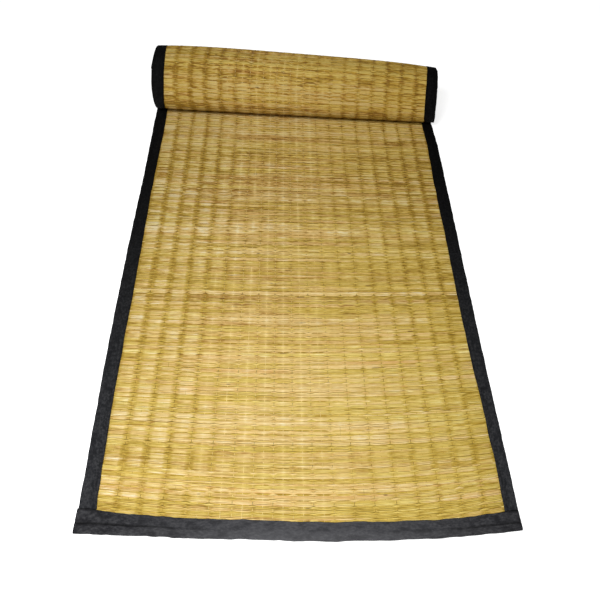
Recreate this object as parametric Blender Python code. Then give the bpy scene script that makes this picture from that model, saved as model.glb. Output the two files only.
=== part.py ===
# A grass mat with a cloth binding on its four edges. It lies flat, and its far end is rolled up over itself.
# Every piece is first laid out flat, by the distance across the mat (left edge negative), the distance along it
# from the near end and the height above its underside. place() then bends it to where the mat really lies.
import math

import bmesh
import bpy
from mathutils import Matrix

# Driving dimensions in metres
MAT_WIDTH = 0.610
MAT_LENGTH = 1.829
FLAT_LENGTH = 1.154  # from the near end to the line where the mat leaves the floor, in the middle of the mat
GRASS_THICKNESS = 0.0040
EDGE_THICKNESS = 0.0020  # the grass is pressed thinner inside the binding
CLOTH_THICKNESS = 0.0010
GAP = 0.00035  # between one piece and the next
SIDE_BINDING = {"left": 0.0233, "right": 0.0209}
END_BINDING = 0.0300
END_OVERHANG = 0.0015  # each end of the end bindings stands out past the side binding
EDGE_SLOPE = 0.0005  # length of the step from full to pressed thickness

# The roll is a spiral whose radius falls by TURN_PITCH in each turn. It is fatter at its left end, swells a little
# in the middle, and lies askew, with its left end further back
ROLL_RADIUS = {"left": 0.0736, "right": 0.0639}
ROLL_CROWN = 0.0023
TURN_PITCH = 0.0052
ROLL_SKEW = -0.119  # how far back the line of contact moves for each metre to the right
ROLL_DRIFT = 0.0075  # how far the wound part creeps to the right, before it creeps back
DRIFT_PEAK = 0.300  # wound length at which it is furthest to the right
TURN_STEP = math.radians(15)

# The near end is bowed: its middle lies nearer than its corners, and its right half nearer than its left half.
# The bow dies out along the mat
BOW_DEPTH = 0.0150
BOW_LEAN = 0.0074
BOW_REACH = 0.600

# The near binding is this much wider than END_BINDING at its left end and narrower at its right end. It draws the
# mat in by END_PULL, a share of the width, which also dies out
END_LEAN = 0.0027
END_PULL = 0.0075
PULL_REACH = 0.080

# Where the flat part has a crosswise line of points, as shares of its length, and the lengthwise lines of points
FLAT_STATIONS = (0.08, 0.16, 0.26, 0.38, 0.5, 0.62, 0.74, 0.86, 0.94, 1.0)
ACROSS_STATIONS = (-0.72, -0.36, 0.0, 0.36, 0.72)

FINISHES = {
    "grass": {"color": (0.55, 0.40, 0.16, 1.0), "roughness": 0.55},
    "cloth": {"color": (0.020, 0.020, 0.023, 1.0), "roughness": 0.90},
}

HALF_WIDTH = MAT_WIDTH / 2
BINDING_HEIGHT = 2 * CLOTH_THICKNESS + 2 * GAP + EDGE_THICKNESS
MEAN_RADIUS = (ROLL_RADIUS["left"] + ROLL_RADIUS["right"]) / 2
SHRINK = TURN_PITCH / (2 * math.pi)  # loss of radius for each radian


def clear_scene():
    for item in list(bpy.data.objects):
        bpy.data.objects.remove(item)


def turn_at(wound):
    """The angle round the roll of a point this far along the mat past the line of contact."""
    return (MEAN_RADIUS - math.sqrt(MEAN_RADIUS**2 - 2 * SHRINK * wound)) / SHRINK


def wound_at(turn):
    return MEAN_RADIUS * turn - SHRINK * turn**2 / 2


def sewn_in(across, along):
    """A point of the laid-out mat, moved as the near binding pulls it."""
    from_edge = along / END_BINDING
    along -= END_LEAN * across / HALF_WIDTH * from_edge * math.exp(1 - from_edge)
    return across * (1 - END_PULL * math.exp(-along / PULL_REACH)), along


def place(across, along, height):
    """Where a point of the laid-out mat goes."""
    across, along = sewn_in(across, along)
    off_middle = across / HALF_WIDTH
    flat_share = min(along / FLAT_LENGTH, 1.0)
    wound = max(along - FLAT_LENGTH, 0.0)
    right_share = (off_middle + 1) / 2
    bow = (BOW_DEPTH + BOW_LEAN * off_middle) * math.exp(-along / BOW_REACH) * (1 - off_middle**2)
    if wound == 0:
        return (across, along + ROLL_SKEW * across * flat_share**2 - bow * (1 - flat_share), height)
    turn = turn_at(wound)
    outer = ROLL_RADIUS["left"] + (ROLL_RADIUS["right"] - ROLL_RADIUS["left"]) * right_share
    outer += ROLL_CROWN * (1 - off_middle**2)
    radius = outer - SHRINK * turn - height
    shifted = across + ROLL_DRIFT * wound / DRIFT_PEAK * math.exp(1 - wound / DRIFT_PEAK)
    stretch = math.hypot(1, ROLL_SKEW)
    back = radius * math.sin(turn) / stretch
    return (
        shifted - ROLL_SKEW * back,
        FLAT_LENGTH + ROLL_SKEW * shifted + back,
        outer - radius * math.cos(turn),
    )


def stations_along(first, last):
    """Crosswise lines of points from first to last: a few on the flat part, then one at each step of the turn."""
    found = [first]
    for share in FLAT_STATIONS:
        found.append(share * FLAT_LENGTH)
    for step in range(1, int(turn_at(MAT_LENGTH - FLAT_LENGTH) / TURN_STEP) + 1):
        found.append(FLAT_LENGTH + wound_at(step * TURN_STEP))
    shortest = 2 * EDGE_SLOPE
    inner = [s for s in found if first + shortest < s < last - shortest]
    return [first] + inner + [last]


def lines_across(outermost):
    """Lengthwise lines of points between the outermost ones, the same in every piece that crosses the mat."""
    step_in = GAP + EDGE_SLOPE
    left_full = -HALF_WIDTH + SIDE_BINDING["left"] + step_in
    right_full = HALF_WIDTH - SIDE_BINDING["right"] - step_in
    middle = [share * HALF_WIDTH for share in ACROSS_STATIONS]
    return [-outermost, left_full - EDGE_SLOPE, left_full] + middle + [right_full, right_full + EDGE_SLOPE, outermost]


def cloth_sheet(name, finish, columns_at, rows_at, point_of):
    """A closed sheet. point_of gives each grid point of its outer skin and of its inner skin."""
    columns = len(columns_at) - 1
    rows = len(rows_at) - 1
    bm = bmesh.new()
    bmesh.ops.create_grid(bm, x_segments=columns, y_segments=rows, size=0.5)
    outer = list(bm.verts)
    extruded = bmesh.ops.extrude_face_region(bm, geom=list(bm.faces), use_keep_orig=True)
    inner = [item for item in extruded["geom"] if isinstance(item, bmesh.types.BMVert)]
    for skin, verts in (("outer", outer), ("inner", inner)):
        for vert in verts:
            i = round((vert.co.x + 0.5) * columns)
            j = round((vert.co.y + 0.5) * rows)
            vert.co = point_of(columns_at[i], rows_at[j], skin)
    bmesh.ops.recalc_face_normals(bm, faces=bm.faces)
    if bm.calc_volume(signed=True) < 0:
        bmesh.ops.reverse_faces(bm, faces=bm.faces)
    mesh = bpy.data.meshes.new(name)
    bm.to_mesh(mesh)
    bm.free()
    mesh.shade_smooth()
    mesh.set_sharp_from_angle(angle=math.radians(40))
    mesh.materials.append(finish)
    node = bpy.data.objects.new(name, mesh)
    bpy.context.scene.collection.objects.link(node)
    return node


def make_finish(name):
    finish = bpy.data.materials.new(name)
    finish.use_nodes = True
    shader = finish.node_tree.nodes["Principled BSDF"]
    shader.inputs["Base Color"].default_value = FINISHES[name]["color"]
    shader.inputs["Roughness"].default_value = FINISHES[name]["roughness"]
    shader.inputs["Metallic"].default_value = 0.0
    finish.diffuse_color = FINISHES[name]["color"]
    return finish


def make_grass(finish):
    """The woven mat: full thickness between the bindings, and pressed thinner inside them."""
    margin = CLOTH_THICKNESS + GAP
    near_full = END_BINDING + GAP + EDGE_SLOPE
    far_full = MAT_LENGTH - near_full
    across = lines_across(HALF_WIDTH - margin)
    left_full, right_full = across[2], across[-3]
    along = [margin, near_full - EDGE_SLOPE] + stations_along(near_full, far_full)
    along += [far_full + EDGE_SLOPE, MAT_LENGTH - margin]

    def point_of(u, s, skin):
        full = left_full <= u <= right_full and near_full <= s <= far_full
        underside = 0.0 if full else margin
        thickness = GRASS_THICKNESS if full else EDGE_THICKNESS
        return place(u, s, underside + (thickness if skin == "outer" else 0.0))

    return cloth_sheet("grass_mat", finish, across, along, point_of)


def folded_tape(fold_edge, free_edge, turn_in):
    """The four corners of a tape folded round an edge, from its upper free edge round to its lower one, as
    (distance from the near or left edge, height) on its outer and inner skin. turn_in points into the mat."""
    wall = CLOTH_THICKNESS
    outer = ((free_edge, BINDING_HEIGHT), (fold_edge, BINDING_HEIGHT), (fold_edge, 0.0), (free_edge, 0.0))
    inside = fold_edge + turn_in * wall
    inner = ((free_edge, BINDING_HEIGHT - wall), (inside, BINDING_HEIGHT - wall), (inside, wall), (free_edge, wall))
    return {"outer": outer, "inner": inner}


def make_side_binding(side, finish):
    turn_in = 1 if side == "left" else -1
    edge = -turn_in * HALF_WIDTH
    corners = folded_tape(edge, edge + turn_in * SIDE_BINDING[side], turn_in)
    along = stations_along(END_BINDING + GAP, MAT_LENGTH - END_BINDING - GAP)

    def point_of(corner, s, skin):
        u, height = corners[skin][corner]
        return place(u, s, height)

    return cloth_sheet("binding_" + side, finish, range(4), along, point_of)


def make_end_binding(name, fold_edge, turn_in, finish):
    corners = folded_tape(fold_edge, fold_edge + turn_in * END_BINDING, turn_in)
    across = lines_across(HALF_WIDTH + END_OVERHANG)

    def point_of(corner, u, skin):
        s, height = corners[skin][corner]
        return place(u, s, height)

    return cloth_sheet(name, finish, range(4), across, point_of)


def centre_on_origin(pieces):
    """Moves the points so that the origin is on the floor, in the middle of the whole mat's footprint."""
    points = [vert.co for piece in pieces for vert in piece.data.vertices]
    middle = [(min(p[axis] for p in points) + max(p[axis] for p in points)) / 2 for axis in (0, 1)]
    for piece in pieces:
        piece.data.transform(Matrix.Translation((-middle[0], -middle[1], 0.0)))


def main():
    clear_scene()
    grass = make_finish("grass")
    cloth = make_finish("cloth")
    pieces = [
        make_grass(grass),
        make_side_binding("left", cloth),
        make_side_binding("right", cloth),
        make_end_binding("binding_front", 0.0, 1, cloth),
        make_end_binding("binding_core", MAT_LENGTH, -1, cloth),
    ]
    centre_on_origin(pieces)


main()
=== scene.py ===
import math

import bmesh
import bpy
import numpy as np
from mathutils import Matrix, Vector


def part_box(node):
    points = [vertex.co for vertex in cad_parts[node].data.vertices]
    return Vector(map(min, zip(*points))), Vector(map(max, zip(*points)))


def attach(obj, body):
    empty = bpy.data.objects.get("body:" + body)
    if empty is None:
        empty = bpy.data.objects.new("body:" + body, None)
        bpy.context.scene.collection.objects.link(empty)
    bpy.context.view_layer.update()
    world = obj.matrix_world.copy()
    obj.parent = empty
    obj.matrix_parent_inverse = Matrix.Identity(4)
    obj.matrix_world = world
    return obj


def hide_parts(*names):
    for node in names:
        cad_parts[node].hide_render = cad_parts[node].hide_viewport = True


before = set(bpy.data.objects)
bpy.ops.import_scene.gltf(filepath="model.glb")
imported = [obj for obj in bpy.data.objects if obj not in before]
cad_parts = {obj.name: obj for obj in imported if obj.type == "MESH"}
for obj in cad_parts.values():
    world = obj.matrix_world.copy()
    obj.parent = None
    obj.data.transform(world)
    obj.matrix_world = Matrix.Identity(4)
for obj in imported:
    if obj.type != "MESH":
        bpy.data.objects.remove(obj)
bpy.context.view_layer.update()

print("frame loaded")

# Every piece is made laid out flat: x across the mat, y along it from the near end, z above its underside.
# bendToPlace then rolls its far end up, nearly as the solids are rolled.
mat = {
    "width": 0.610,
    "length": 1.829,
    "flatLength": 1.154,  # near end to the line where it leaves the floor
    "middleHeight": 0.0020,  # of the plane that the warps and rows weave through
    "solidColumns": (-0.72, -0.36, 0.0, 0.36, 0.72),  # where the solids have points, in half widths
}
roll = {
    "leftRadius": 0.0724,
    "rightRadius": 0.0627,
    "crown": 0.0035,  # how much it swells between its ends
    "crownPower": 4,
    "turnPitch": 0.0052,  # its radius falls by this much in each turn
    "skew": -0.119,  # it lies this much further back for each metre to the right
    "drift": 0.0082,  # the wound part creeps this far to the right
    "driftReach": 0.120,
    "firstTurn": 0.40,  # wound length after which it creeps back, by driftBack at the core
    "driftBack": 0.0016,
    "dip": 0.0070,  # the right end is drawn in by this much on the back of the crest
    "dipPlace": 0.150,
    "dipReach": 0.050,
}
nearEnd = {
    "bowDepth": 0.0150,
    "bowLean": 0.0074,
    "bowReach": 0.600,
    "tapeLean": 0.0027,  # its tape is this much wider at the left end
    "leftFlare": 0.0090,  # and flares by this much at its two corners
    "rightFlare": 0.0055,
    "flareReach": 0.042,
    "leftSpread": 0.0030,  # the left tape is this much wider at the corner
    "spreadReach": 0.035,
    "pull": 0.0075,
    "pullReach": 0.080,
}
tapes = {
    "thickness": 0.0006,
    "height": 0.0044,
    "left": 0.0233,
    "leftFlap": 0.0285,  # its width on the underside
    "right": 0.0209,
    "rightFlap": 0.0240,
    "widestWound": 0.285,  # where on the roll the lower flap is widest, and how it narrows from there
    "leftNarrowing": 0.0095,
    "rightNarrowing": 0.0030,
    "narrowingReach": 0.100,
    "end": 0.0300,
    "endOverhang": 0.0015,  # the end tapes reach past the side tapes
    "station": 0.0030,  # along the tape
}

halfWidth = mat["width"] / 2
meanCrown = roll["crown"] * (1 - 1 / (roll["crownPower"] + 1))
meanRadius = (roll["leftRadius"] + roll["rightRadius"]) / 2 + meanCrown
shrink = roll["turnPitch"] / (2 * math.pi)


def bend(laid):
    # where laid-out points (n, 3) lie on the rolled mat, from the middle of its near end
    across, along, height = laid.T
    fromEdge = along / tapes["end"]
    along = along - nearEnd["tapeLean"] * across / halfWidth * fromEdge * np.exp(1 - fromEdge)
    across = across * (1 - nearEnd["pull"] * np.exp(-along / nearEnd["pullReach"]))
    offMiddle = across / halfWidth
    flatShare = np.minimum(along / mat["flatLength"], 1.0)
    wound = np.maximum(along - mat["flatLength"], 0.0)
    bow = (nearEnd["bowDepth"] + nearEnd["bowLean"] * offMiddle) * np.exp(-along / nearEnd["bowReach"])
    flatY = along + roll["skew"] * across * flatShare**2 - bow * (1 - offMiddle**2) * (1 - flatShare)
    turn = (meanRadius - np.sqrt(meanRadius**2 - 2 * shrink * wound)) / shrink
    outer = roll["leftRadius"] + (roll["rightRadius"] - roll["leftRadius"]) * (offMiddle + 1) / 2
    outer = outer + roll["crown"] * (1 - offMiddle ** roll["crownPower"])
    radius = outer - shrink * turn - height
    drifted = across + roll["drift"] * (1 - np.exp(-wound / roll["driftReach"]))
    woundLength = mat["length"] - mat["flatLength"]
    drifted = drifted - np.interp(wound, (roll["firstTurn"], woundLength), (0, roll["driftBack"]))
    dip = roll["dip"] * np.exp(-(((wound - roll["dipPlace"]) / roll["dipReach"]) ** 2))
    drifted = drifted - dip * np.clip(offMiddle, 0, 1) ** 4 * (wound > 0)
    back = radius * np.sin(turn) / math.hypot(1, roll["skew"])
    isFlat = wound <= 0
    x = np.where(isFlat, across, drifted - roll["skew"] * back)
    y = np.where(isFlat, flatY, mat["flatLength"] + roll["skew"] * drifted + back)
    z = np.where(isFlat, height, outer - radius * np.cos(turn))
    return np.stack([x, y, z], axis=1)


def findShift():
    # from the middle of the near end to the frame's origin, read off the near tape
    reach = halfWidth + tapes["endOverhang"]
    solidColumns = [-reach, reach] + [share * halfWidth for share in mat["solidColumns"]]
    outline = np.array([(x, y, 0.0) for x in solidColumns for y in (0.0, tapes["end"])])
    shift = np.array(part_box("binding_front")[0]) - bend(outline).min(axis=0)
    return shift * (1, 1, 0)


frameShift = findShift()


def bendToPlace(laid):
    return bend(laid) + frameShift


def readPoints(mesh):
    flat = np.empty(len(mesh.vertices) * 3)
    mesh.vertices.foreach_get("co", flat)
    return flat.reshape(-1, 3)


def writePoints(mesh, points):
    mesh.vertices.foreach_set("co", np.ascontiguousarray(points, dtype=np.float32).ravel())
    mesh.update()


def writeUv(mesh, places):
    # laid-out places in metres, so that a pattern follows the weave
    corner = np.empty(len(mesh.loops), dtype=np.int32)
    mesh.loops.foreach_get("vertex_index", corner)
    layer = mesh.uv_layers.new(name="laid")
    layer.data.foreach_set("uv", places[corner][:, :2].astype(np.float32).ravel())


def writeColors(mesh, name, values):
    layer = mesh.color_attributes.new(name=name, type="FLOAT_COLOR", domain="POINT")
    layer.data.foreach_set("color", np.ascontiguousarray(values, dtype=np.float32).ravel())


def newPiece(name, mesh, finish, node=None):
    mesh.name = name
    mesh.shade_smooth()
    mesh.materials.clear()
    mesh.materials.append(finish)
    piece = bpy.data.objects.new(name, mesh)
    bpy.context.scene.collection.objects.link(piece)
    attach(piece, "root")
    if node:
        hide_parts(node)
    return piece


def smoothNoise(places, seed, octaves=2):
    # a smooth random value from about -1 to 1 at each place, where places count in wavelengths
    random = np.random.default_rng(seed)
    total = np.zeros_like(places)
    for octave in range(octaves):
        scaled = places * 2**octave
        cell = np.floor(scaled).astype(int)
        low = cell.min()
        values = random.uniform(-1, 1, cell.max() - low + 2)
        part = scaled - cell
        ease = part * part * (3 - 2 * part)
        total += (values[cell - low] * (1 - ease) + values[cell - low + 1] * ease) / 2**octave
    return total


def wave(places, size, seed, shift=0.0, octaves=2):
    # a random wave of this length and height, moved on by shift, in wavelengths
    length, height = size
    return smoothNoise(places / length + shift, seed, octaves) * height


def repeatMesh(template, count):
    # count copies of a mesh, each 1 further along y, joined
    holder = bpy.data.objects.new("holder", template)
    bpy.context.scene.collection.objects.link(holder)
    array = holder.modifiers.new("copies", "ARRAY")
    array.count = count
    array.use_relative_offset = False
    array.use_constant_offset = True
    array.constant_offset_displace = (0.0, 1.0, 0.0)
    array.use_merge_vertices = False
    graph = bpy.context.evaluated_depsgraph_get()
    mesh = bpy.data.meshes.new_from_object(holder.evaluated_get(graph))
    bpy.data.objects.remove(holder)
    return mesh


def extrudeTube(outline, stations, step):
    # a closed tube: outline gives its corners at the first station, and step moves it on by a share
    bm = bmesh.new()
    ring = bmesh.ops.create_circle(bm, segments=len(outline), radius=1.0)["verts"]
    for vert, place in zip(ring, outline):
        vert.co = place
    bm.faces.new(ring)
    edges = list(bm.edges)
    for before, after in zip(stations, stations[1:]):
        grown = bmesh.ops.extrude_edge_only(bm, edges=edges)["geom"]
        edges = [item for item in grown if isinstance(item, bmesh.types.BMEdge)]
        verts = [item for item in grown if isinstance(item, bmesh.types.BMVert)]
        bmesh.ops.translate(bm, verts=verts, vec=Vector(step) * (after - before))
    bmesh.ops.holes_fill(bm, edges=edges, sides=0)
    bmesh.ops.recalc_face_normals(bm, faces=bm.faces)
    mesh = bpy.data.meshes.new("tube")
    bm.to_mesh(mesh)
    bm.free()
    return mesh


# Materials. An expression on Value objects adds the Math nodes that work it out.
class Value:
    def __init__(self, shading, socket):
        self.shading = shading
        self.socket = socket

    def math(self, operation, *others):
        return self.shading.node("ShaderNodeMath", {"operation": operation}, dict(enumerate((self, *others))))

    def __add__(self, other):
        return self.math("ADD", other)

    def __radd__(self, other):
        return self.math("ADD", other)

    def __sub__(self, other):
        return self.math("SUBTRACT", other)

    def __rsub__(self, other):
        return self.math("MULTIPLY_ADD", -1.0, other)

    def __mul__(self, other):
        return self.math("MULTIPLY", other)

    def __rmul__(self, other):
        return self.math("MULTIPLY", other)

    def output(self, name):
        return Value(self.shading, self.socket.node.outputs[name])


class Shading:
    # one material with a Principled shader; node() makes any other node and gives one of its outputs
    def __init__(self, name, **constants):
        self.material = bpy.data.materials.new(name)
        self.material.use_nodes = True
        self.tree = self.material.node_tree
        self.shader = self.tree.nodes["Principled BSDF"]
        for socket, value in constants.items():
            self.shader.inputs[socket.replace("_", " ")].default_value = value

    def node(self, kind, settings=None, inputs=None, output=0):
        made = self.tree.nodes.new(kind)
        for key, value in (settings or {}).items():
            if key == "stops":
                self.setStops(made.color_ramp.elements, value)
            else:
                setattr(made, key, value)
        for key, value in (inputs or {}).items():
            self.feed(made.inputs[key], value)
        return Value(self, made.outputs[output])

    def setStops(self, elements, stops):
        for index, (place, color) in enumerate(stops):
            stop = elements[index] if index < 2 else elements.new(place)
            stop.position = place
            stop.color = (*color, 1.0)

    def feed(self, socket, value):
        if isinstance(value, Value):
            self.tree.links.new(value.socket, socket)
        else:
            socket.default_value = value

    def laid(self):
        return self.node("ShaderNodeUVMap", {"uv_map": "laid"})

    def split(self, vector):
        made = self.node("ShaderNodeSeparateXYZ", {}, {0: vector})
        return [made.output(axis) for axis in "XYZ"]

    def point(self, x, y):
        return self.node("ShaderNodeCombineXYZ", {}, {0: x, 1: y})

    def noise(self, x, y, detail=1.0, roughness=0.5):
        inputs = {"Vector": self.point(x, y), "Scale": 1.0, "Detail": detail, "Roughness": roughness}
        return self.node("ShaderNodeTexNoise", {}, inputs)

    def ramp(self, factor, stops):
        return self.node("ShaderNodeValToRGB", {"stops": stops}, {0: factor})

    def between(self, value, low, high):
        # 0 at low and before it, 1 at high and after it
        settings = {"interpolation_type": "SMOOTHSTEP"}
        return self.node("ShaderNodeMapRange", settings, {"Value": value, "From Min": low, "From Max": high})

    def mix(self, share, first, second, blend="MIX"):
        # sockets 0, 6 and 7 are the share and the two colours, and output 2 is the mixed colour
        settings = {"data_type": "RGBA", "blend_type": blend}
        return self.node("ShaderNodeMix", settings, {0: share, 6: first, 7: second}, output=2)

    def tint(self, color, dye):
        return self.mix(1.0, color, dye, blend="MULTIPLY")

    def bump(self, height, distance, strength):
        return self.node("ShaderNodeBump", {}, {"Height": height, "Distance": distance, "Strength": strength})

    def finish(self, **links):
        for socket, value in links.items():
            self.feed(self.shader.inputs[socket.replace("_", " ")], value)
        return self.material


def shade(*levels):
    # red, green and blue as a picture shows them, from 0 to 255, as the linear values that shaders take
    return tuple(((c / 255 + 0.055) / 1.055) ** 2.4 if c > 10 else c / 255 / 12.92 for c in levels)


def opaque(color):
    return (*color, 1.0)


sedge = {
    # tones of a stalk from dark to light, in its two hues
    "peach": (
        (0.00, shade(158, 114, 42)),
        (0.26, shade(210, 173, 100)),
        (0.50, shade(231, 201, 132)),
        (0.74, shade(245, 221, 162)),
        (1.00, shade(255, 246, 214)),
    ),
    "olive": (
        (0.00, shade(142, 110, 22)),
        (0.26, shade(194, 164, 68)),
        (0.50, shade(217, 190, 96)),
        (0.74, shade(235, 212, 124)),
        (1.00, shade(252, 240, 174)),
    ),
    "rust": shade(226, 160, 88),
    "rustShare": 0.30,
    "hollow": shade(178, 146, 48),  # the stain beside a pressing warp, with painted shade in the dip there and between the rows
    "hollowShare": 0.36,
    "farHollowShare": 0.12,  # more of it towards the far end, as age and painted shade
    "scorched": shade(98, 60, 24),
    "scorchedShare": 0.65,
    "agedAndShaded": (0.78, 0.66, 0.36),  # a tint for age, which also paints shade towards the far end
    "paintedShadeRightShare": 0.28,  # painted shade: more of the tint on the right
}
sedgeNoise = {
    # repeats in a metre across the mat, and in a metre along it where there are two numbers
    "slow": 16.0,
    "hue": 5.0,
    "streaks": (60.0, 300.0),
    "fibres": (120.0, 1100.0),
    "wear": (45.0, 60.0),
    "scorch": 34.0,
    # how far the pattern of a stalk, or for the hue a row, lies from the one before, and where the first lies
    "slowStep": 0.83,
    "hueStep": 0.61,
    "hueStart": 40.0,
    "streakStep": 3.7,
    "scorchStep": 5.3,
    "scorchStart": 11.0,
}
sedgePlaces = {
    # where each change begins and where it is complete, in metres along or across the mat
    # towards the far end the mat is aged, and painted darker and more contrasted as shade
    "agingAndShade": (0.15, 1.45),
    "far": (0.80, 1.25),
    # painted light: the left side of the far flat is lighter
    "paintedLightLeft": (-0.02, -0.24),
    "paintedLightFrom": (0.35, 0.80),
    "paintedLightTo": (1.20, 1.14),
    "middle": (0.22, 0.04),  # on both sides of the cleanest warp
    "olive": (-0.30, 0.30),
    "paintedShadeRight": (-0.08, 0.30),
}
sedgeTone = {
    # how far each of these moves a stalk's tone, where 1 is the whole range from dark to light
    "own": 0.38,
    "slow": 0.75,
    "hump": 0.30,
    "glow": 0.16,  # a painted highlight on the middle of a hump, where it is also worn
    "streaks": 0.45,
    "stainedStreaks": 0.55,  # more of them where the stains and painted shade are strong
    "fibres": 0.40,
    # painted shade: a stalk's tone is darker where the stain mask is strong, and lighter where it is weak
    "stainAndShade": 0.33,
    "meanStainAndShade": 0.44,
    "paintedLight": 0.07,
    # painted shade over the middle of the mat
    "middle": 0.05,
    "far": 0.075,
    "agingAndShade": 1.7,  # it spreads the tones further apart towards the far end, for age and as painted shade
    "humpMiddle": (0.20, 0.0),  # in spacings of the warps
    "wear": (0.36, 0.66),
}
sedgeHue = {
    # how far each of these moves a stalk towards olive or rust, and where it is wholly so
    "own": 1.1,
    "slow": 2.6,
    "streaks": 0.5,
    "stainAndShade": 0.5,
    "right": 0.36,
    "olive": (0.49, 1.19),
    "slowRust": 1.8,
    "humpRust": 0.3,
    "rust": (0.75, 1.25),
    "scorched": (0.73, 0.79),
}


def makeSedge():
    # dried sedge: each stalk has its own tone, which changes slowly along it, and finer streaks
    it = Shading("sedge", Specular_IOR_Level=0.3)
    across, along, _ = it.split(it.laid())
    tone = it.node("ShaderNodeAttribute", {"attribute_name": "tone"})
    lightness, greenness, redness = it.split(tone.output("Vector"))
    hollow = tone.output("Alpha")
    threads = it.node("ShaderNodeAttribute", {"attribute_name": "threads"})
    warp, row, contrast = it.split(threads.output("Vector"))
    number = threads.output("Alpha")
    hump = it.point(warp.math("FLOOR"), row)
    ownHump = it.node("ShaderNodeTexWhiteNoise", {"noise_dimensions": "2D"}, {"Vector": hump})

    # Patterns that run along the stalks
    slow = it.noise(across * sedgeNoise["slow"], number * sedgeNoise["slowStep"])
    slowHue = it.noise(across * sedgeNoise["hue"], row * sedgeNoise["hueStep"] + sedgeNoise["hueStart"])
    streakX, streakY = sedgeNoise["streaks"]
    streaks = it.noise(across * streakX + number * sedgeNoise["streakStep"], along * streakY)
    fibreX, fibreY = sedgeNoise["fibres"]
    fibres = it.noise(across * fibreX, along * fibreY)
    wearX, wearY = sedgeNoise["wear"]
    worn = it.noise(across * wearX, along * wearY)
    scorchY = number * sedgeNoise["scorchStep"] + sedgeNoise["scorchStart"]
    scorch = it.noise(across * sedgeNoise["scorch"], scorchY)

    # Changes over the whole mat, and over each hump of a row
    agingAndShade = it.between(along, *sedgePlaces["agingAndShade"])
    # painted light on the left of the far flat
    paintedLight = it.between(across, *sedgePlaces["paintedLightLeft"]) * it.between(along, *sedgePlaces["paintedLightFrom"])
    paintedLight = paintedLight * it.between(along, *sedgePlaces["paintedLightTo"])
    inMiddle = it.between((across - warps["paleMiddle"]).math("ABSOLUTE"), *sedgePlaces["middle"])
    # painted highlight: the middle of each hump near the cleanest warp is lighter, masked by the wear noise
    offHumpMiddle = (warp.math("FRACT") - 0.5).math("ABSOLUTE")
    glow = it.between(offHumpMiddle, *sedgeTone["humpMiddle"]) * inMiddle
    glow = glow * it.between(worn, *sedgeTone["wear"])
    stainedAndShaded = hollow * contrast

    # Tone
    level = (lightness - 0.5) * sedgeTone["own"] + (slow - 0.5) * sedgeTone["slow"]
    level = level + (ownHump - 0.5) * contrast * sedgeTone["hump"] + glow * sedgeTone["glow"]
    level = level + (streaks - 0.5) * (contrast * sedgeTone["stainedStreaks"] + sedgeTone["streaks"])
    level = level + (fibres - 0.5) * sedgeTone["fibres"]
    # painted shade in the pinched dips and between the rows, together with the stain
    level = level + (sedgeTone["meanStainAndShade"] - hollow) * contrast * sedgeTone["stainAndShade"]
    # painted light on the left of the far flat, and painted shade over the middle of the mat
    level = level + paintedLight * sedgeTone["paintedLight"] - inMiddle * sedgeTone["middle"]
    level = level + it.between(along, *sedgePlaces["far"]) * sedgeTone["far"]
    level = level * (agingAndShade * sedgeTone["agingAndShade"] + 1.0) + 0.5

    # Hue, then the stains with their painted shade, the age with painted shade towards the far end and on the
    # right, and the scorched places over it
    green = greenness * sedgeHue["own"] + (slowHue - 0.5) * sedgeHue["slow"]
    green = green + (streaks - 0.5) * sedgeHue["streaks"] + stainedAndShaded * sedgeHue["stainAndShade"]
    green = green + it.between(across, *sedgePlaces["olive"]) * sedgeHue["right"]
    green = it.between(green, *sedgeHue["olive"])
    color = it.mix(green, it.ramp(level, sedge["peach"]), it.ramp(level, sedge["olive"]))
    red = redness - (slowHue - 0.5) * sedgeHue["slowRust"] + (ownHump - 0.5) * sedgeHue["humpRust"]
    color = it.mix(it.between(red, *sedgeHue["rust"]) * sedge["rustShare"], color, opaque(sedge["rust"]))
    stainAndShadeShare = agingAndShade * sedge["farHollowShare"] + sedge["hollowShare"]
    color = it.mix(stainedAndShaded * stainAndShadeShare, color, opaque(sedge["hollow"]))
    # painted shade: the right side is tinted darker towards the far end
    paintedShadeRight = agingAndShade * it.between(across, *sedgePlaces["paintedShadeRight"]) * sedge["paintedShadeRightShare"]
    for share in (agingAndShade, paintedShadeRight):
        color = it.mix(share, color, it.tint(color, opaque(sedge["agedAndShaded"])))
    scorchShare = it.between(scorch, *sedgeHue["scorched"]) * sedge["scorchedShare"]
    color = it.mix(scorchShare, color, opaque(sedge["scorched"]))
    relief = it.bump(streaks * 0.7 + fibres * 0.3, distance=0.0006, strength=0.6)
    return it.finish(Base_Color=color, Roughness=0.6 - fibres * 0.16, Normal=relief)


warps = {
    "doubledNumbers": range(-1, 39),  # of the warps, where an even one is a pressing warp
    "radius": 0.00034,
    "paleRadius": 0.00042,
    "paleMiddle": -0.055,  # the warps are clean about here, and stained by the grass further out
    "paleWidth": 0.12,
    "pressingTone": 0.8,  # a pressing warp is painted darker, as shade in the dip where it presses
    "paleLift": 1.6,  # how much higher a pale one crosses over the narrow rows, in rises of a row
    "floatShare": 0.10,
    "light": shade(242, 220, 154),
    "dark": shade(176, 144, 62),
    "cleanness": (0.3, 1.1),  # from wholly dark to wholly light
    "grime": 0.5,
    "grimeRepeats": (90.0, 120.0),  # in a metre across the mat and along it
    "plyRepeats": (2500.0, 900.0),
    "shadowSpeck": shade(84, 62, 30),  # painted shadow specks: the pressing warps are dark at a few rows
    "shadowSpeckStrength": 0.85,
    "speckedRows": 0.20,
    "speckShare": 0.75,
}


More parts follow.
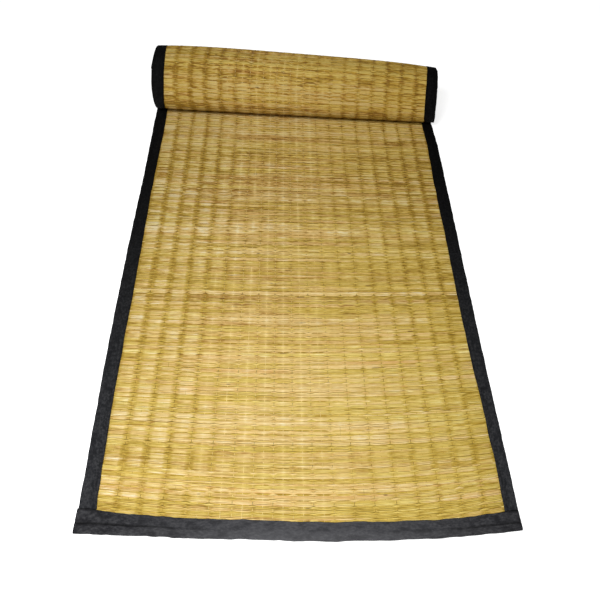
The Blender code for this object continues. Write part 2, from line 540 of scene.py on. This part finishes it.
def makeCotton():
    # the warps: clean and pale in the middle of the mat, stained by the grass elsewhere, with painted shade
    # on the pressing warps and painted shadow specks
    it = Shading("warpCotton", Roughness=0.8, Specular_IOR_Level=0.2)
    across, along, _ = it.split(it.laid())
    tone = it.node("ShaderNodeAttribute", {"attribute_name": "tone"})
    paleness, shadowSpeck, _ = it.split(tone.output("Vector"))
    grimeX, grimeY = warps["grimeRepeats"]
    cleanness = it.noise(across * grimeX, along * grimeY, detail=2.0) * warps["grime"] + paleness
    color = it.mix(it.between(cleanness, *warps["cleanness"]), opaque(warps["dark"]), opaque(warps["light"]))
    color = it.mix(shadowSpeck * warps["shadowSpeckStrength"], color, opaque(warps["shadowSpeck"]))
    plyX, plyY = warps["plyRepeats"]
    ply = it.noise(across * plyX, along * plyY)
    return it.finish(Base_Color=color, Normal=it.bump(ply, distance=0.0002, strength=0.6))


tapeCloth = {
    "far": shade(8, 8, 8),
    "near": shade(38, 39, 42),
    "shaded": shade(1, 1, 1),  # painted shade at the far right
    "front": shade(66, 66, 69),
    "frontEnds": shade(37, 37, 40),
    "lint": shade(140, 140, 142),
    "yarnPitch": 0.0011,
    "cloudRepeats": (90.0, 45.0),  # in a metre across the tape and along it
    "rubRepeats": (330.0, 170.0),
    "slubRepeats": (900.0, 900.0),
    "nearness": (0.35, -0.72),  # from the far tone to the greyer near one, along the frame: dust, and painted light
    "shadedRight": (-0.2, 0.2),
    "freeEdge": (0.014, 0.003),  # a side tape is painted darker towards its free edge, as shade beside the grass
    "freeEdgeShare": 0.30,
    "frontMiddle": 0.02,
    "frontReach": (0.31, 0.02),  # from the ends' tone to the middle's, out from frontMiddle
    "wear": (0.40, 0.72),
    "wearShare": 0.17,
    "dark": (0.52, 0.34),
    "darkShare": 0.30,
    "specks": (0.62, 0.74),
    "speckShare": 0.22,
    "creasePlace": 0.0173,  # from the end tape's free edge, where it has a fold, painted dark as shade in its crease
    "creaseWidth": 0.0030,
    "creaseShadeShare": 0.75,
    "creaseLeft": (-0.08, -0.25),  # along the end tape, from no crease to a deep one
    "creaseRight": (0.17, 0.26),
    "creaseRightShare": 0.75,
    "belowCrease": (-0.002, 0.004),  # the tape is paler from here on, away from the fold
    "belowShare": 0.08,
    "seam": (0.004, 0.0),  # its free edge is darker over the side tapes
    "seamReach": (0.272, 0.285),
    "seamShare": 0.6,
}


def makeTape(name, creased):
    # black cotton tape in plain weave, rubbed, and greyed towards the near end by dust and by painted light
    it = Shading(name, Roughness=0.9, Specular_IOR_Level=0.08)
    far, lint = opaque(tapeCloth["far"]), opaque(tapeCloth["lint"])
    onTape, onLength, _ = it.split(it.laid())
    around = 2 * math.pi / tapeCloth["yarnPitch"]
    weaveRelief = (onTape * around).math("SINE") * (onLength * around).math("SINE")
    frameX, frameY, _ = it.split(it.node("ShaderNodeTexCoord", output=3))
    cloudX, cloudY = tapeCloth["cloudRepeats"]
    clouds = it.noise(onTape * cloudX, onLength * cloudY, detail=3.0, roughness=0.6)
    rubX, rubY = tapeCloth["rubRepeats"]
    rubbed = it.noise(onTape * rubX, onLength * rubY, detail=2.0, roughness=0.6)
    slubX, slubY = tapeCloth["slubRepeats"]
    slub = it.noise(onTape * slubX, onLength * slubY, detail=2.0)
    # painted light, with dust: the tape greys towards the near end
    nearness = it.between(frameY + (clouds - 0.5) * 0.4, *tapeCloth["nearness"])
    # the tape's black, with painted shade at the far right
    blackAndShaded = it.mix(it.between(frameX, *tapeCloth["shadedRight"]), far, opaque(tapeCloth["shaded"]))
    color = it.mix(nearness, blackAndShaded, opaque(tapeCloth["near"]))
    if creased:
        fromMiddle = (onLength - tapeCloth["frontMiddle"]).math("ABSOLUTE")
        toMiddle = it.between(fromMiddle, *tapeCloth["frontReach"])
        color = it.mix(toMiddle, opaque(tapeCloth["frontEnds"]), opaque(tapeCloth["front"]))
    else:
        # painted shade along a side tape's free edge, beside the grass
        toFree = it.between(onTape, *tapeCloth["freeEdge"])
        color = it.mix(toFree * nearness * tapeCloth["freeEdgeShare"], color, blackAndShaded)
    worn = it.between(rubbed * 0.6 + clouds * 0.4, *tapeCloth["wear"]) * (nearness * 0.85 + 0.15)
    color = it.mix(worn * tapeCloth["wearShare"], color, lint)
    color = it.mix(it.between(clouds, *tapeCloth["dark"]) * tapeCloth["darkShare"], color, far)
    specks = it.between(slub, *tapeCloth["specks"]) * (nearness * 0.6 + 0.4)
    color = it.mix(specks * tapeCloth["speckShare"], color, lint)
    if creased:
        fromCrease = onTape - tapeCloth["creasePlace"]
        below = it.between(fromCrease, *tapeCloth["belowCrease"])
        color = it.mix(below * toMiddle * tapeCloth["belowShare"], color, lint)
        away = (fromCrease + (clouds - 0.5) * 0.004).math("ABSOLUTE")
        line = it.between(onLength, *tapeCloth["creaseRight"]) * tapeCloth["creaseRightShare"]
        line = line + it.between(onLength, *tapeCloth["creaseLeft"])
        # painted shade in the crease of the fold
        inCrease = it.between(away, tapeCloth["creaseWidth"], 0.0) * line
        color = it.mix(inCrease * tapeCloth["creaseShadeShare"], color, far)
        overSide = it.between(onLength.math("ABSOLUTE"), *tapeCloth["seamReach"])
        seam = it.between(onTape, *tapeCloth["seam"]) * overSide
        color = it.mix(seam * tapeCloth["seamShare"], color, far)
    relief = it.bump(weaveRelief * 0.4 + slub + rubbed, distance=0.0003, strength=0.8)
    return it.finish(Base_Color=color, Normal=relief)


sedgeFinish = makeSedge()
cottonFinish = makeCotton()
sideTapeFinish = makeTape("sideTapeBlack", False)
endTapeFinish = makeTape("endTapeBlack", True)
print("materials made")

# The weave. Wide rows of three or four stalks rise between the pressing warps, and are pinched under them.
# Narrow rows of one stalk do the opposite. Pressing warps have whole numbers, and the others half ones.
weave = {
    # numbers of some warps and their places across the mat, with the others spaced evenly between them
    "warpPlaces": ((-2, -0.3171), (0, -0.2526), (5, -0.0914), (12, 0.1074), (18, 0.2892), (20, 0.3498)),
    "columnShares": (0.0, 0.11, 0.25, 0.75, 0.89),  # lines of points from one pressing warp to the next
    "pinchShare": 0.30,  # half width of a pinched place, as a share of half the warps' spacing
    "pairPitch": 0.0097,  # one wide and one narrow row
    "pairUneven": 0.16,
    "wideShare": 0.73,
    "wideUneven": (-0.07, 0.06),
    "bandChange": 0.4,  # chance that a pair of rows has another tone than the last
    "arch": 0.0006,
    "narrowTone": (0.75, 1.0, 0.8),  # lightness, greenness and redness of the narrow rows, to the wide ones
    "rowContrast": (0.55, 0.75),  # the least contrast of a row, and how much more it may have
    "wideSpread": (1.18, 0.48),  # width of a wide row in its humps, and how much of it goes where pinched
    "narrowSpread": (0.78, 0.90),  # width of a narrow row beside the humps, and how much more it has there
    "weakPinch": 0.72,  # depth of a pinched place that has neither stain nor painted shade
    "stainAndShadeShift": 0.03,
    "narrowStainAndShade": (0.2, 0.6),  # the least stain and painted shade of a narrow row, and how much more beside a pressing warp
    "rowWave": (0.110, 0.0006),  # length and height of the waves in a row, in a stalk and in its lift
    "stalkWave": (0.035, 0.00025),
    "liftWave": (0.050, 0.00010),
    "rowWaveStep": 17.3,  # how far the waves of a row or a stalk lie from those of the one before
    "stalkWaveStep": 29.1,
    "liftWaveStep": 17.3,
    "lift": 0.00010,
    "coverBlend": (0.002, 0.004),  # from a tape's free edge, where the grass comes up to its full thickness
    "coverRise": 0.6,  # how much flatter the rows lie under a tape, and how much thinner they are there
    "coverThinning": 0.4,
    "thickness": 0.0015,  # of a stalk
    "rise": 0.00035,
    "crown": 0.00025,  # the middle stalks of a wide row lie this much higher
    "stainAndShadeShare": 0.52,  # half width of the stain and painted shade about a pinched place, as pinchShare
    "contrastPlaces": (-0.28, -0.19, -0.10, 0.03, 0.12, 0.28),  # how strongly the pinched places are stained and painted in shade
    "contrasts": (1.60, 1.25, 0.40, 0.15, 0.50, 1.15),
    # on the roll, stronger stains and painted shade between the rows
    "undersideContrast": 1.25,
    "firstRow": 0.0200,
    "lastRow": 1.8060,
    "rowEnd": 0.2890,  # rows end this far out, under the side tapes
    "lastColumn": 0.2880,  # and have no line of points between here and there
    "bandShare": 0.50,  # how much of a stalk's tone it shares with its neighbours
    "bowDepth": 0.0170,  # the rows are bowed more than the near end
    "bowReach": 0.280,
}
warpNumbers, warpPlaces = zip(*weave["warpPlaces"])
stalkOutline = ((-0.56, 0.16), (0.0, 0.50), (0.56, 0.16), (0.0, -0.50))  # shares of its width and thickness
seeds = {
    "layOut": 11,
    "row": 5,
    "lift": 6,
    "stalk": 7,
    "warps": 23,
    "left": 31,
    "right": 47,
    "binding_front": 61,
    "binding_core": 83,
}


def pinchOf(warp):
    # 1 where a pressing warp crosses, 0 between those
    away = 2 * np.abs(warp - np.round(warp))
    return np.exp(-((away / weave["pinchShare"]) ** 2))


def rowBow(across, along):
    return weave["bowDepth"] * np.exp(-along / weave["bowReach"]) * (1 - (across / halfWidth) ** 2)


def rowColumns():
    # lines of points across the mat, from one end of a row to the other
    pressing = range(warpNumbers[0], warpNumbers[-1] + 1)
    numbers = [number + share for number in pressing for share in weave["columnShares"]]
    places = np.interp(numbers, warpNumbers, warpPlaces)
    inner = [x for x in places if abs(x) < weave["lastColumn"]]
    return [-weave["rowEnd"]] + inner + [weave["rowEnd"]]


def coverOf(across, along):
    # 1 where a tape lies over the grass, which it presses flatter
    before, after = weave["coverBlend"]
    sideEdge = halfWidth - tapes["left"]
    underSide = np.interp(np.abs(across), (sideEdge - before, sideEdge + after), (0, 1))
    fromEnd = np.minimum(along, mat["length"] - along)
    underEnd = np.interp(fromEnd, (tapes["end"] - before, tapes["end"] + after), (1, 0))
    return np.maximum(underSide, underEnd)


def layOutRows():
    random = np.random.default_rng(seeds["layOut"])
    rows = []
    start = weave["firstRow"]
    band = random.uniform(0, 1, 4)
    while start < weave["lastRow"]:
        pitch = weave["pairPitch"] * (1 + random.uniform(-1, 1) * weave["pairUneven"])
        wide = pitch * (weave["wideShare"] + random.uniform(*weave["wideUneven"]))
        if random.random() < weave["bandChange"]:
            band = random.uniform(0, 1, 4)
        middles = ((True, wide, start + wide / 2), (False, pitch - wide, start + (wide + pitch) / 2))
        for isWide, width, centre in middles:
            arch = random.normal(0, weave["arch"])
            rows.append({"wide": isWide, "centre": centre, "width": width, "band": band, "arch": arch})
        start += pitch
    stalks = []
    leastContrast, moreContrast = weave["rowContrast"]
    for number, row in enumerate(rows):
        count = int(random.choice((3, 4))) if row["wide"] else 1
        for place in range(count):
            tone = weave["bandShare"] * row["band"][:3] + (1 - weave["bandShare"]) * random.uniform(0, 1, 3)
            if not row["wide"]:
                tone = tone * weave["narrowTone"]
            own = {
                "tone": tone,
                "side": (place + 0.5) / count - 0.5,
                "share": 1 / count,
                "lift": random.normal(0, weave["lift"]),
                "contrast": leastContrast + moreContrast * row["band"][3],
                "row": number,
                "number": len(stalks),
            }
            stalks.append(row | own)
    return rows, stalks


def buildRows(name, stalks, underside):
    facing = -1 if underside else 1
    columns = rowColumns()
    template = extrudeTube([(columns[0], y, z * facing) for y, z in stalkOutline], columns, (1, 0, 0))
    one = readPoints(template)
    mesh = repeatMesh(template, len(stalks))
    across, corner, height = np.tile(one, (len(stalks), 1)).T
    keys = ("wide", "centre", "width", "tone", "arch", "side", "share", "lift", "contrast", "row", "number")
    listed = {key: np.repeat(np.array([stalk[key] for stalk in stalks]), len(one), axis=0) for key in keys}
    isWide, number = listed["wide"], listed["number"]
    warp = np.interp(across, warpPlaces, warpNumbers)
    contrast = np.interp(across, weave["contrastPlaces"], weave["contrasts"])
    pinch = pinchOf(warp) * (weave["weakPinch"] + (1 - weave["weakPinch"]) * np.minimum(contrast, 1.0))
    cover = coverOf(across, listed["centre"])
    inHumps, drawnIn = weave["wideSpread"]
    between, drawnOut = weave["narrowSpread"]
    spread = np.where(isWide, inHumps - drawnIn * pinch, between + drawnOut * pinch)
    crown = np.where(isWide, weave["crown"] * (1 - (2 * listed["side"]) ** 2) * (1 - pinch), 0.0)
    rise = np.where(isWide, weave["rise"] * (1 - 2 * pinch), weave["rise"] * (2 * pinch - 1))
    lift = listed["lift"] + wave(across, weave["liftWave"], seeds["lift"], number * weave["liftWaveStep"])
    upward = (rise + crown + lift) * facing * (1 - weave["coverRise"] * cover)
    wander = wave(across, weave["rowWave"], seeds["row"], listed["row"] * weave["rowWaveStep"])
    wander += wave(across, weave["stalkWave"], seeds["stalk"], number * weave["stalkWaveStep"])
    wander += listed["arch"] * (1 - 2 * pinch)
    place = (listed["side"] + corner * listed["share"]) * listed["width"] * spread
    along = listed["centre"] + place + wander - rowBow(across, listed["centre"])
    thickness = weave["thickness"] * (1 - weave["coverThinning"] * cover)
    laid = np.stack([across, along, mat["middleHeight"] + upward + height * thickness], axis=1)
    # the stain and painted shade about each pinched place; narrow rows always carry some, as painted shade
    # between the rows
    fromStainAndShade = np.abs(warp - np.round(warp) - weave["stainAndShadeShift"])
    stainAndShade = np.exp(-((2 * fromStainAndShade / weave["stainAndShadeShare"]) ** 2))
    leastStainAndShade, moreStainAndShade = weave["narrowStainAndShade"]
    hollow = np.where(isWide, stainAndShade, leastStainAndShade + moreStainAndShade * stainAndShade)
    # painted shade: darker lines between the rows on the roll
    if underside:
        contrast = contrast * weave["undersideContrast"]
    writePoints(mesh, bendToPlace(laid))
    writeUv(mesh, laid)
    # tone: lightness, greenness, redness and stain with painted shade. threads: the warp, the row, its
    # contrast and the stalk
    writeColors(mesh, "tone", np.column_stack([listed["tone"], hollow]))
    threads = np.column_stack([warp, listed["row"], contrast * listed["contrast"], number])
    writeColors(mesh, "threads", threads)
    return newPiece(name, mesh, sedgeFinish)


ground = {
    "thickness": 0.0004,
    "margin": 0.002,
    "columns": 24,
    "rows": 260,
    "endShare": 0.955,  # its width inside the end tapes, where it steps in over the length of endStep
    "endStep": 0.003,
    # dark and strongly stained: the sheet shows as painted shade in the gaps between the rows
    "tone": (0.2, 0.6, 0.3, 0.8),
}


def buildGround():
    # the imported middle of the mat, which closes the gaps between the rows, coloured dark there as painted
    # shade
    bm = bmesh.new()
    bmesh.ops.create_grid(bm, x_segments=ground["columns"], y_segments=ground["rows"], size=0.5)
    lower = bmesh.ops.extrude_face_region(bm, geom=list(bm.faces), use_keep_orig=True)["geom"]
    lowerVerts = [item for item in lower if isinstance(item, bmesh.types.BMVert)]
    bmesh.ops.translate(bm, verts=lowerVerts, vec=(0, 0, -1))
    bmesh.ops.recalc_face_normals(bm, faces=bm.faces)
    mesh = bpy.data.meshes.new("ground")
    bm.to_mesh(mesh)
    bm.free()
    across, along, height = readPoints(mesh).T
    across = across * (mat["width"] - 2 * ground["margin"])
    along = (along + 0.5) * (mat["length"] - 2 * ground["margin"]) + ground["margin"]
    fromEnd = np.minimum(along, mat["length"] - along)
    flared = tapes["end"] + nearEnd["leftFlare"]
    across = across * np.interp(fromEnd, (flared - ground["endStep"], flared), (ground["endShare"], 1.0))
    height = mat["middleHeight"] + (height + 0.5) * ground["thickness"]
    laid = np.stack([across, along, height], axis=1)
    threads = np.zeros((len(laid), 4))
    threads[:, 0] = np.interp(across, warpPlaces, warpNumbers)
    threads[:, 2] = 1.0
    writePoints(mesh, bendToPlace(laid))
    writeUv(mesh, laid)
    writeColors(mesh, "tone", np.tile(ground["tone"], (len(laid), 1)))
    writeColors(mesh, "threads", threads)
    return newPiece("woven_sheet", mesh, sedgeFinish, "grass_mat")


def buildWarps(rows):
    random = np.random.default_rng(seeds["warps"])
    numbers = np.array(warps["doubledNumbers"]) / 2
    numbers = numbers[np.abs(np.interp(numbers, warpNumbers, warpPlaces)) < weave["rowEnd"]]
    corners = [(math.cos(turn), 0.0, math.sin(turn)) for turn in np.arange(4) * math.pi / 2]
    template = extrudeTube(corners, range(len(rows)), (0, 1, 0))
    one = readPoints(template)
    mesh = repeatMesh(template, len(numbers))
    warp = np.repeat(numbers, len(one))
    side, station, upward = np.tile(one, (len(numbers), 1)).T
    station = np.round(station).astype(int)
    centre = np.array([row["centre"] for row in rows])[station]
    isWide = np.array([row["wide"] for row in rows])[station]
    facing = np.where(centre < mat["flatLength"], 1, -1)
    presses = warp == np.round(warp)
    across = np.interp(warp, warpNumbers, warpPlaces)
    clean = np.exp(-(((across - warps["paleMiddle"]) / warps["paleWidth"]) ** 2))
    pale = clean * ~presses
    drawn = random.random((len(numbers), len(rows)))
    isSpecked = (random.random(len(rows)) < warps["speckedRows"]) & (drawn < warps["speckShare"])
    ownColumn = np.repeat(np.arange(len(numbers)), len(one))
    isFloating = drawn[ownColumn, station] < warps["floatShare"] * pale
    radius = warps["radius"] + (warps["paleRadius"] - warps["radius"]) * pale
    top = weave["thickness"] / 2
    floatingHeight = top + weave["rise"] + weave["crown"]
    overWide = top - weave["rise"] + weave["crown"]
    overNarrow = top + weave["rise"] * (warps["paleLift"] * pale - 1)
    under = weave["rise"] - top
    pressing = np.where(isWide, overWide, under)
    between = np.where(isWide, np.where(isFloating, floatingHeight, under), overNarrow)
    pressed = 1 - weave["coverThinning"] * coverOf(across, centre)
    height = np.where(presses, pressing, between) * facing * pressed
    height = mat["middleHeight"] + height + upward * radius
    laid = np.stack([across + side * radius, centre - rowBow(across, centre), height], axis=1)
    writePoints(mesh, bendToPlace(laid))
    writeUv(mesh, laid)
    tone = np.ones((len(laid), 4))
    # painted shade: a pressing warp is darker than the others
    tone[:, 0] = clean * np.where(presses, warps["pressingTone"], 1.0)
    # painted shadow specks on the pressing warps at a few rows
    tone[:, 1] = isSpecked[ownColumn, station] * presses * isWide
    writeColors(mesh, "tone", tone)
    return newPiece("cotton_warps", mesh, cottonFinish)


# The tapes, each folded round one edge. The side tapes aren't quite straight: at each place along the mat,
# the fold lies this much further out, and the free edge this much further in
tapeWander = {
    "along": (0.09, 0.21, 0.39, 0.64, 0.88, 1.04, 1.16),
    "leftFold": (-0.0008, 0.0006, 0.0026, 0.0027, 0.0, 0.0, 0.0),
    "leftFree": (0.0011, 0.0004, -0.0010, 0.0, -0.0011, 0.0018, 0.0),
    "rightFold": (0.0003, -0.0007, -0.0003, 0.0014, 0.0032, 0.0040, 0.0),
    "rightFree": (-0.0019, -0.0010, 0.0025, 0.0009, 0.0009, -0.0020, 0.0),
}
# A tape's section, by shares of its width from its fold, or metres at the fold, and by how far it drops
freeEdge = ((1.0, 0.0006), (0.96, 0.0003))
upperShares = (0.85, 0.70, 0.56, 0.47, 0.425, 0.38, 0.28, 0.18, 0.10)
fold = ((0.0011, 0.0006), (0.0003, 0.0014), (0.0, 0.0022), (0.0004, 0.0033), (0.0014, 0.0040))
lowerShares = (0.12, 0.3, 0.55, 0.8, 1.0)
lowerHeight = 0.0004
tapeDetail = {
    "clearance": 0.0004,  # from the ends of a side tape to the end tapes
    "upperFrom": 0.002,  # what lies higher than this is the upper flap
    # length and height of the waves in each edge and of the puckers in the flap that shows
    "freeWave": (0.045, 0.0006),
    "foldWave": (0.016, 0.0004),
    "pucker": (0.0065, 0.00022),
    "puckerLean": 0.15,  # how far the puckers lean, in their lengths for each column of points
    "endWave": (0.050, 0.0008),
    "endFineWave": (0.013, 0.0007),
    "endPucker": (0.009, 0.0004),
    "endPuckerLean": 0.35,
}
crease = {
    "share": 0.425,  # the upper share at which the end tapes have it
    "tolerance": 0.01,
    "depth": 0.0012,
    "places": (-0.23, -0.10, 0.16, 0.25),  # deep at both ends and faint in the middle
    "strengths": (1.0, 0.15, 0.12, 0.75),
}


def tapeSection(width, flap):
    # from the upper free edge over the fold to the lower free edge: distance from the mat's edge, and height
    top = tapes["height"]
    section = [(width * share, top - drop) for share, drop in freeEdge]
    section += [(width * share, top) for share in upperShares]
    section += [(inward, top - drop) for inward, drop in fold]
    return section + [(flap * share, lowerHeight) for share in lowerShares]


def buildTape(name, node, finish, section, count, layOut, mirrored):
    # layOut gives the laid-out places of points of the section, and how far along the tape they lie
    bm = bmesh.new()
    bmesh.ops.create_grid(bm, x_segments=len(section) - 1, y_segments=count, size=0.5)
    if mirrored:
        bmesh.ops.reverse_faces(bm, faces=bm.faces)
    mesh = bpy.data.meshes.new(name)
    bm.to_mesh(mesh)
    bm.free()
    points = readPoints(mesh)
    column = np.round((points[:, 0] + 0.5) * (len(section) - 1)).astype(int)
    inward, height = np.array(section)[column].T
    laid, onLength = layOut(inward, height, points[:, 1] + 0.5, column)
    writePoints(mesh, bendToPlace(laid))
    onTape = np.cumsum(np.r_[0, np.hypot(*np.diff(np.array(section), axis=0).T)])[column]
    writeUv(mesh, np.column_stack([onTape, onLength]))
    piece = newPiece(name, mesh, finish, node)
    thicken = piece.modifiers.new("cloth", "SOLIDIFY")
    thicken.thickness = tapes["thickness"]
    thicken.offset = -1.0
    return piece


def sideTape(side):
    width = tapes[side]
    outward = -1 if side == "left" else 1
    first = tapes["end"] + tapeDetail["clearance"] + nearEnd[side + "Flare"]
    last = mat["length"] - tapes["end"] - tapeDetail["clearance"]
    seed = seeds[side]

    def foldShift(along):
        return np.interp(along, tapeWander["along"], tapeWander[side + "Fold"])

    def freeShift(along):
        return np.interp(along, tapeWander["along"], tapeWander[side + "Free"])

    def layOut(inward, height, share, column):
        along = first + share * (last - first)
        free = np.clip(inward / width, 0, 1)
        isUpper = height > tapeDetail["upperFrom"]
        edge = (wave(along, tapeDetail["freeWave"], seed) + freeShift(along)) * free
        edge += (wave(along, tapeDetail["foldWave"], seed + 1) - foldShift(along)) * (1 - free)
        shows = np.where(along < mat["flatLength"], isUpper, ~isUpper)
        pucker = wave(along, tapeDetail["pucker"], seed + 2, column * tapeDetail["puckerLean"], 1) * shows
        fromWidest = (along - mat["flatLength"] - tapes["widestWound"]) / tapes["narrowingReach"]
        narrowed = tapes[side + "Narrowing"] * np.minimum(fromWidest**2, 1.0) * (along > mat["flatLength"])
        edge -= narrowed * ~isUpper * free
        if side == "left":
            edge += nearEnd["leftSpread"] * np.exp(-(along - first) / nearEnd["spreadReach"]) * free
        return np.stack([outward * (halfWidth - inward - edge), along, height + pucker], axis=1), along

    section = tapeSection(width, tapes[side + "Flap"])
    count = int((last - first) / tapes["station"])
    mirrored = side == "left"
    return buildTape("tape_" + side, "binding_" + side, sideTapeFinish, section, count, layOut, mirrored)


def endTape(name, node, atNearEnd):
    reach = halfWidth + tapes["endOverhang"]
    seed = seeds[node]

    def layOut(inward, height, share, column):
        fromFold = np.clip(inward / tapes["end"], 0, 1)
        across = (share * 2 - 1) * (reach - tapes["endOverhang"] * fromFold)
        isUpper = height > tapeDetail["upperFrom"]
        edge = wave(across, tapeDetail["endWave"], seed) + wave(across, tapeDetail["endFineWave"], seed + 1)
        lean = column * tapeDetail["endPuckerLean"]
        pucker = wave(across, tapeDetail["endPucker"], seed + 2, lean) * isUpper
        fade = np.interp(across, crease["places"], crease["strengths"])
        inCrease = np.abs(inward / tapes["end"] - crease["share"]) < crease["tolerance"]
        pucker -= crease["depth"] * fade * inCrease * isUpper
        if atNearEnd:
            flare = np.where(across < 0, nearEnd["leftFlare"], nearEnd["rightFlare"])
            fromCorner = np.maximum(halfWidth - tapes["left"] - np.abs(across), 0.0)
            edge += flare * np.exp(-fromCorner / nearEnd["flareReach"]) * fromFold**2
        along = inward + edge
        if not atNearEnd:
            along = mat["length"] - along
        return np.stack([across, along, height + pucker], axis=1), across

    section = tapeSection(tapes["end"], tapes["end"])
    count = int(2 * reach / tapes["station"])
    return buildTape(name, node, endTapeFinish, section, count, layOut, not atNearEnd)


# The rows in groups: where each one ends along the mat, and whether its underside shows
outerTurn = 0.98 * 2 * math.pi * meanRadius
rowGroups = (
    ("sedge_rows_near", 0.40, False),
    ("sedge_rows_middle", 0.78, False),
    ("sedge_rows_far", mat["flatLength"], False),
    ("sedge_rows_rolled", mat["flatLength"] + outerTurn, True),
    ("sedge_rows_core", mat["length"], True),
)


def buildMat():
    rows, stalks = layOutRows()
    grassPieces = []
    first = 0.0
    for name, last, underside in rowGroups:
        chosen = [stalk for stalk in stalks if first <= stalk["centre"] < last]
        grassPieces.append(buildRows(name, chosen, underside))
        print(name, "made of", len(chosen), "stalks")
        first = last
    sheet = buildGround()
    clothPieces = [
        buildWarps(rows),
        sideTape("left"),
        sideTape("right"),
        endTape("tape_near_end", "binding_front", True),
        endTape("tape_core_end", "binding_core", False),
    ]
    grassPieces + clothPieces


buildMat()
print("mat made")

# The stage, the light and the camera
stage = {"floorSize": 120.0, "floorColor": (0.93, 0.93, 0.93, 1.0), "floorGlow": 0.78, "worldStrength": 0.13}


def buildStage():
    bm = bmesh.new()
    bmesh.ops.create_grid(bm, x_segments=1, y_segments=1, size=stage["floorSize"] / 2)
    mesh = bpy.data.meshes.new("floor")
    bm.to_mesh(mesh)
    bm.free()
    floor = bpy.data.objects.new("floor", mesh)
    bpy.context.scene.collection.objects.link(floor)
    glow = {"Emission_Color": (1.0, 1.0, 1.0, 1.0), "Emission_Strength": stage["floorGlow"]}
    it = Shading("paleFloor", Roughness=0.9, Base_Color=stage["floorColor"], **glow)
    mesh.materials.append(it.material)
    world = bpy.data.worlds.new("studio")
    world.use_nodes = True
    backdrop = world.node_tree.nodes["Background"]
    backdrop.inputs["Color"].default_value = (1.0, 1.0, 1.0, 1.0)
    backdrop.inputs["Strength"].default_value = stage["worldStrength"]
    bpy.context.scene.world = world


lamp = {"place": (-0.30, -0.86, 1.22), "aim": (-0.1, -0.1, 0.0), "size": 0.6, "power": 21.4}


def buildLamp():
    light = bpy.data.lights.new("key", "AREA")
    light.shape = "DISK"
    light.size = lamp["size"]
    light.energy = lamp["power"]
    holder = bpy.data.objects.new("key", light)
    bpy.context.scene.collection.objects.link(holder)
    holder.location = lamp["place"]
    away = Vector(lamp["place"]) - Vector(lamp["aim"])
    holder.rotation_euler = away.to_track_quat("Z", "Y").to_euler()
    holder.visible_camera = False


camera = {
    "place": (-0.01093, -0.84443, 1.10078),  # from the middle of the near end
    "pitch": 39.3915,  # degrees below the horizon
    "yaw": 0.8408,
    "roll": 0.1881,
    "focalPixels": 1000.0,
    "framePixels": 600.0,
    "sensorWidth": 36.0,  # millimetres
    "clipEnd": 500.0,
}


def buildCamera():
    lens = bpy.data.cameras.new("camera")
    lens.sensor_width = camera["sensorWidth"]
    lens.lens = camera["focalPixels"] / camera["framePixels"] * camera["sensorWidth"]
    lens.clip_end = camera["clipEnd"]
    holder = bpy.data.objects.new("camera", lens)
    bpy.context.scene.collection.objects.link(holder)
    pitch, yaw, tilt = (math.radians(camera[key]) for key in ("pitch", "yaw", "roll"))
    forward = Vector((math.sin(yaw) * math.cos(pitch), math.cos(yaw) * math.cos(pitch), -math.sin(pitch)))
    level = Vector((math.cos(yaw), -math.sin(yaw), 0.0))
    upright = level.cross(forward)
    right = level * math.cos(tilt) + upright * math.sin(tilt)
    up = upright * math.cos(tilt) - level * math.sin(tilt)
    turn = Matrix((right, up, -forward)).transposed()
    place = Vector(camera["place"]) + Vector(frameShift)
    holder.matrix_world = Matrix.Translation(place) @ turn.to_4x4()
    bpy.context.scene.camera = holder


buildStage()
buildLamp()
buildCamera()
bpy.context.scene.view_settings.view_transform = "Standard"
print("stage made")
